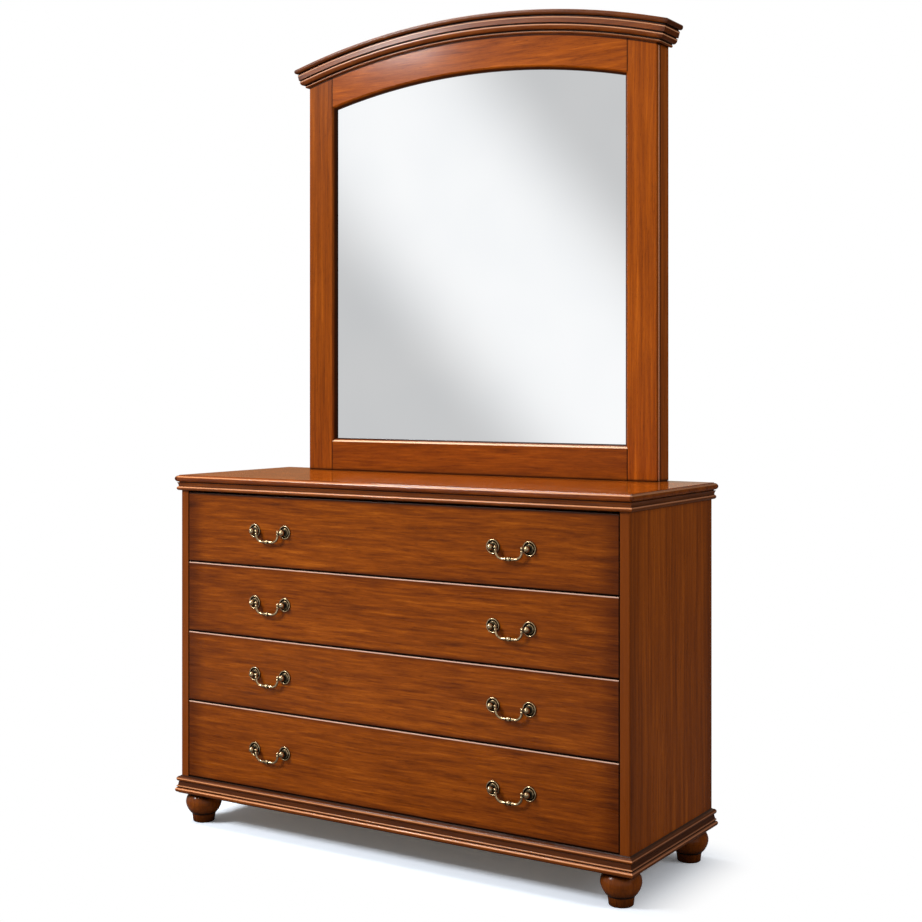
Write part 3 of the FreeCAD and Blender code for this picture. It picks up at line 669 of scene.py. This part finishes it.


# Looks. Edges are darker strips: widths in metres along X, Y and Z, strength and tint.

drawer_look = {"edges": [((0.06, 0, 0.014), 0.7, edge_tint), ((0.32, 0, 0), 0.2, edge_tint)]}
# Painted shadow on the fronts' edges, and on the lower fronts a painted highlight along the top edge
top_drawer_look = {**drawer_look, "shadow": shadow_of_top_front}
lower_drawer_look = {**drawer_look, "shadow": shadow_of_front, "crest": crest_of_front,
                     "crest_colour": (236, 192, 168)}
panel_look = {"edges": [((0, 0.07, 0.03), 0.6, edge_tint)], "stretch": 3.0, "figure": 0.8, "shade": 0.98,
              "crest": crest_of_panel, "crest_colour": (140, 68, 16), "crest_strength": 0.5}
# The top board: a painted highlight along its bead, and a painted shadow on its beaded ends
board_look = {"edges": [((0, 0.010, 0), 0.6, edge_tint)], "coat": 0.25, "gloss": (0.10, 0.16), "shade": 1.14,
              "shadow": shadow_of_board_ends, "shadow_strength": 0.55, "crest": crest_of_board,
              "crest_colour": (230, 156, 104)}
# Mouldings: painted shade in their hollows, recesses and on the ledge, and painted highlights along their
# crests
moulding_look = {"coat": 0.22, "hollow_shade": deep_hollow_shade, "reach": 0.010, "figure": 0.7,
                 "shadow": shadow_of_moulding, "shadow_strength": 0.92, "crest": crest_of_moulding}
long_moulding_look = {**moulding_look, "shade": 0.88, "crest_colour": (240, 164, 112)}
# The side mouldings are painted darker than the front ones, a painted shade, and their crests' painted
# highlight is dimmer
side_moulding_look = {**moulding_look, "shade": 0.70, "crest_colour": (172, 112, 78)}
# Feet: painted shade in the hollows and under the case, and a painted shadow round the collar and in the
# waist
feet_look = {"coat": 0.2, "coat_gloss": 0.24, "gloss": (0.16, 0.22), "shade": 0.86, "figure": 0.7,
             "stretch": 2.0, "hollow_shade": deep_hollow_shade, "reach": 0.05, "shadow": shadow_of_feet,
             "shadow_strength": 0.8}
# The cornice: painted shade on its two ends, in its hollows and quirks, and painted highlights along its
# crests
cornice_look = {"edges": [((0.024, 0, 0), 0.8, edge_tint)], "coat": 0.12, "coat_gloss": 0.16, "figure": 0.8,
                "hollow_shade": deep_hollow_shade, "reach": 0.010, "shadow": shadow_of_cornice, "crest": crest_of_cornice,
                "crest_colour": (216, 154, 112)}
# The mirror's members: painted shade in their hollows and along the lines where they meet other pieces
frame_look = {"coat": 0.14, "specular": 0.02, "hollow_shade": (46, 28, 18), "figure": 0.8}
# The bottom rail: a painted highlight on its bevel's front, a painted shadow on its back, dark joints at its
# ends and painted shade along its upper and lower edges
bottom_rail_look = {**frame_look, "shadow": shadow_of_bottom_rail, "crest": crest_of_bottom_rail,
                    "edges": [((0.004, 0, 0), 1.0, joint_and_shade_line), ((0, 0, 0.006), 0.9, joint_and_shade_line)],
                    "crest_colour": (250, 205, 165)}
top_rail_look = {**frame_look, "edges": [((0.004, 0, 0), 1.0, joint_and_shade_line)], "shadow": shadow_of_top_rail,
                 "shade": 1.12}
# Stiles: painted shade at their upper and lower ends, where they meet the cornice and the top board
stile_look = {**frame_look, "edges": [((0, 0, 0.006), 0.9, joint_and_shade_line)], "stretch": 2.5,
              "shadow": shadow_of_stile, "crest": crest_of_stile}
# Returns: painted shade at their upper and lower ends, and a painted shadow behind the stile
return_look = {"edges": [((0, 0, 0.006), 0.9, joint_and_shade_line)], "stretch": 2.5, "figure": 0.8,
               "shadow": shadow_of_return}

side_mouldings = ("top_moulding_left", "top_moulding_right", "base_moulding_left", "base_moulding_right")

# A piece takes the first look whose name, or one of whose names, its own name starts with
cherry_looks = (
    ("drawer_1_front", top_drawer_look),
    ("drawer", lower_drawer_look),
    ("side_panel", panel_look),
    ("top_board", board_look),
    (side_mouldings, side_moulding_look),
    (("top_moulding", "base_moulding"), long_moulding_look),
    ("feet", feet_look),
    ("mirror_cornice_cap", {**cornice_look, "shade": 0.74}),
    ("mirror_cornice", {**cornice_look, "shade": 0.86}),
    ("mirror_bottom_rail", bottom_rail_look),
    ("mirror_top_rail", top_rail_look),
    # The right stile is painted lighter than the left, a painted light, and the painted highlight on its
    # bead is paler
    ("mirror_stile_left", {**stile_look, "shade": 0.98, "crest_colour": (180, 112, 74)}),
    ("mirror_stile_right", {**stile_look, "shade": 1.13, "crest_colour": (226, 160, 124)}),
    ("mirror_return", return_look),
)


def cherry_look(name):
    """What sets a cherry piece apart from plain cherry."""
    return next((look for start, look in cherry_looks if name.startswith(start)), {})


def dress(name, made):
    for slot in frame["nodes"][name].material_slots:
        slot.material = made


def dress_all():
    slots = {part["node"]: part["material_slot"] for part in frame["record"]["subparts"]}
    bail_low, bail_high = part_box("bail_1_right")
    shared = {"hardboard": hardboard(), "steel": steel(), "mirror_glass": mirror_glass(),
              "aged_brass": aged_brass(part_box("drawer_1_front")[0].y, (bail_low.x + bail_high.x) / 2)}
    for seed, name in enumerate(sorted(slots)):
        along, box = grain_direction(name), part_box(name)
        if slots[name] in shared:
            dress(name, shared[slots[name]])
        elif slots[name] == "plain_wood":
            dress(name, plain_wood("plain_wood_" + name, along, seed, box, name == "base_rails"))
        else:
            dress(name, cherry("cherry_" + name, along, seed, box, **cherry_look(name)))


# Stage, lights and camera

def studio_bands(shader, axes):
    """Soft bright bands that slant round the room, and the angle of a direction above the horizon."""
    azimuth = shader.math("ARCTAN2", axes[0], shader.math("MULTIPLY", axes[1], -1.0))
    height = shader.math("ARCSINE", axes[2])
    turn = shader.math("MULTIPLY_ADD", height, band_slant, band_start)
    turn = shader.math("MULTIPLY_ADD", azimuth, bands_round / math.pi, turn)
    wave = shader.math("COSINE", shader.math("MULTIPLY", turn, math.pi))
    bands = shader.between(wave, *band_wave_span, band_low, band_high)
    return shader.node("ShaderNodeCombineColor", {0: bands, 1: bands, 2: bands}).outputs[0], height


def light_world():
    """White to the camera, soft slanting bands to glossy rays, and a plain grey for the light itself."""
    world = bpy.data.worlds.new("studio")
    world.use_nodes = True
    bpy.context.scene.world = world
    shader = Shader(world.node_tree)
    way = shader.node("ShaderNodeTexCoord").outputs["Generated"]
    axes = shader.node("ShaderNodeSeparateXYZ", {0: way}).outputs
    bands, height = studio_bands(shader, axes)
    glow = shader.mix("MIX", shader.between(axes[0], *rear_left_span), rear_glow, rear_left_glow)
    glow = shader.mix("MIX", shader.between(axes[0], *far_left_span), glow, far_left_glow)
    bands = shader.mix("MIX", shader.between(axes[1], *rear_span), bands, glow)
    bands = shader.mix("MIX", shader.between(height, *high_span), bands, high_glow)
    glossy, seen = shader.light_path()
    colour = shader.mix("MIX", glossy, ambient, bands)
    colour = shader.mix("MIX", seen, colour, grey(1))
    back = shader.node("ShaderNodeBackground", {"Color": colour, "Strength": 1.0})
    shader.node("ShaderNodeOutputWorld", {"Surface": back.outputs[0]})


def floor_surface(shader):
    """Matte where the shadow lies and white around it, and clear in front to glossy rays."""
    here = shader.here()
    outward = shader.vector("ABSOLUTE", here)[0]
    outward = shader.vector("SUBTRACT", outward, (*shadow_core, 0.0))[0]
    outward = shader.vector("MAXIMUM", outward, (0, 0, 0))[0]
    distance = shader.vector("LENGTH", outward)["Value"]
    glossy, seen = shader.light_path()
    near = shader.between(shader.axes()["Y"], *near_floor_span)
    colour = shader.mix("MIX", glossy, floor_bounce, floor_in_gloss)
    colour = shader.mix("MIX", seen, colour, floor_seen)
    colour = shader.mix("MIX", shader.math("MULTIPLY", near, glossy), colour, near_floor_in_gloss)
    matte = shader.node("ShaderNodeBsdfDiffuse", {"Color": colour}).outputs[0]
    white = shader.node("ShaderNodeEmission", {"Color": grey(1), "Strength": 1.0}).outputs[0]
    away = shader.between(distance, 0.0, shadow_fade, shadow_lift, 1.0)
    surface = shader.mix_surfaces(shader.math("MULTIPLY", away, seen), matte, white)
    in_front = shader.math("MULTIPLY", shader.inverse(near), glossy)
    clear = shader.math("MULTIPLY", shader.between(distance, *clear_floor_span), in_front)
    return shader.mix_surfaces(clear, surface, shader.node("ShaderNodeBsdfTransparent").outputs[0])


def lay_floor():
    """A pale floor that shows the shadow near the object and fades into the white ground around it."""
    mesh = bpy.data.meshes.new("floor")
    corners = [(-floor_half, -floor_half, 0), (floor_half, -floor_half, 0),
               (floor_half, floor_half, 0), (-floor_half, floor_half, 0)]
    mesh.from_pydata(corners, [], [(0, 1, 2, 3)])
    floor = bpy.data.objects.new("floor", mesh)
    bpy.context.scene.collection.objects.link(floor)
    made, shader = material("floor")
    mesh.materials.append(made)
    shader.node("ShaderNodeOutputMaterial", {"Surface": floor_surface(shader)})


def hang_lamp(name, place, target, size, power, shows_in_gloss):
    lamp = bpy.data.lights.new(name, "AREA")
    lamp.shape = "RECTANGLE"
    lamp.size, lamp.size_y = size
    lamp.energy = power
    lamp_object = bpy.data.objects.new(name, lamp)
    lamp_object.location = place
    lamp_object.visible_glossy = shows_in_gloss
    lamp_object.rotation_euler = (Vector(target) - Vector(place)).to_track_quat("-Z", "Y").to_euler()
    bpy.context.scene.collection.objects.link(lamp_object)


def place_camera():
    camera = bpy.data.cameras.new("camera")
    camera.sensor_width = sensor_width
    camera.lens = focal_length / image_size * sensor_width
    camera.shift_y = (horizon_row - image_size / 2) / image_size
    camera_object = bpy.data.objects.new("camera", camera)
    camera_object.location = camera_place
    camera_object.rotation_euler = (math.pi / 2, 0, camera_turn)
    bpy.context.scene.collection.objects.link(camera_object)
    bpy.context.scene.camera = camera_object


dress_all()
light_world()
lay_floor()
for lamp_row in lamps:
    hang_lamp(*lamp_row)
place_camera()
bpy.context.scene.view_settings.view_transform = "Standard"
